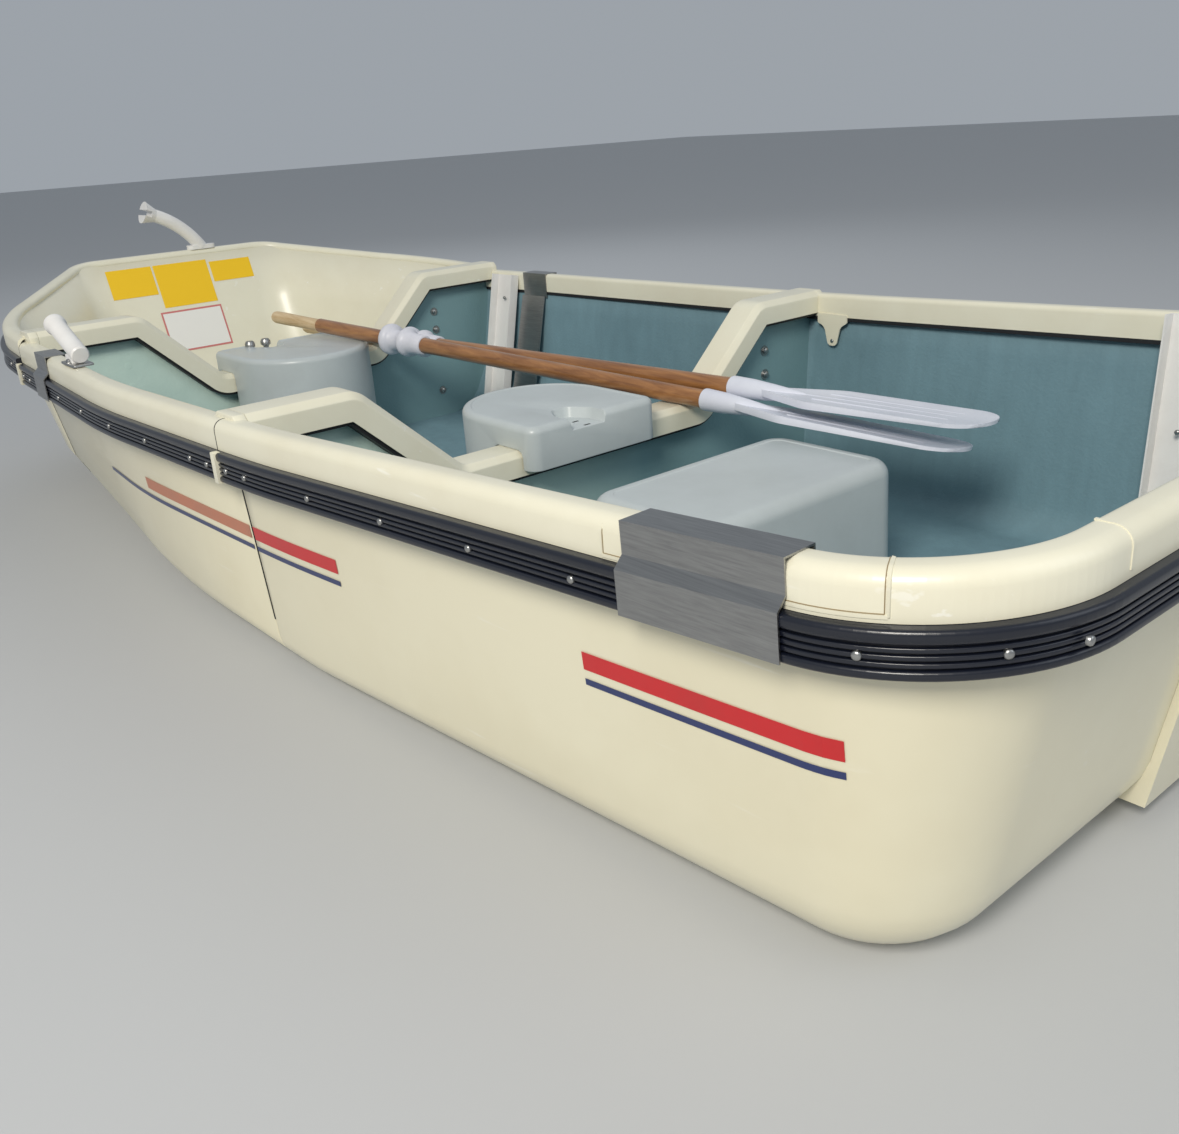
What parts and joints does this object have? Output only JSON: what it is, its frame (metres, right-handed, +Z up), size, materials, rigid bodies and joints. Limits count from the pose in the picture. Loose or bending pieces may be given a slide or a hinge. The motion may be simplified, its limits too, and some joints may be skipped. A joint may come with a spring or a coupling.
{
  "type": "three-section rowing boat",
  "caption": "Open fibreglass rowing boat in three bolted sections with lift-off seat, stern seat, rub rails and a pair of oars.",
  "frame": {"origin": "on the floor, below the middle of the boat's overall box", "axes": "+X forward to the bow, +Y to port, +Z up"},
  "size_m": [3.19, 1.413, 0.6437],
  "materials": {
    "rim_gelcoat": "polished gelcoat",
    "guide_plastic": "moulded",
    "hull_gelcoat": "polished gelcoat",
    "inner_paint": "satin paint on laminate",
    "rail_rubber": "ribbed extrusion",
    "stainless": "plain",
    "sheet_steel": "bent sheet",
    "seat_plastic": "moulded",
    "white_plastic": "extruded",
    "blade_plastic": "moulded",
    "collar_plastic": "moulded",
    "oar_wood": "varnished"
  },
  "bodies": {
    "boat": {"bow_gunwale": "rim_gelcoat", "bow_handle": "guide_plastic", "bow_hull": "hull_gelcoat", "bow_liner": "rim_gelcoat", "bow_rear_bulkhead": "inner_paint", "bow_rub_rail": "rail_rubber", "front_joint_bolts": "stainless", "front_joint_cap": "rim_gelcoat", "front_saddle_straps": "sheet_steel", "front_seat": "seat_plastic", "middle_front_bulkhead": "inner_paint", "middle_gunwale": "rim_gelcoat", "middle_hull": "hull_gelcoat", "middle_rear_bulkhead": "inner_paint", "middle_rub_rail": "rail_rubber", "port_front_post": "white_plastic", "port_front_saddle": "sheet_steel", "port_stern_post": "white_plastic", "port_stern_saddle": "sheet_steel", "rear_joint_bolts": "stainless", "rear_joint_cap": "rim_gelcoat", "starboard_front_post": "white_plastic", "starboard_front_saddle": "sheet_steel", "starboard_stern_post": "white_plastic", "starboard_stern_saddle": "sheet_steel", "stern_front_bulkhead": "inner_paint", "stern_gunwale": "rim_gelcoat", "stern_hull": "hull_gelcoat", "stern_rub_rail": "rail_rubber", "stern_seat": "seat_plastic", "transom_pad": "hull_gelcoat"},
    "rear_seat": {"rear_seat": "seat_plastic"},
    "oars": {"port_oar_blade": "blade_plastic", "port_oar_collar": "collar_plastic", "port_oar_shaft": "oar_wood", "starboard_oar_blade": "blade_plastic", "starboard_oar_collar": "collar_plastic", "starboard_oar_shaft": "oar_wood"}
  },
  "joints": [
    {"name": "rear_seat_lift", "type": "slide", "parent": "boat", "child": "rear_seat", "axis": [0, 0, 1], "range_m": [0, 0.25]},
    {"name": "oars_lift", "type": "slide", "parent": "boat", "child": "oars", "axis": [0, 0, 1], "range_m": [0, 0.3]}
  ]
}
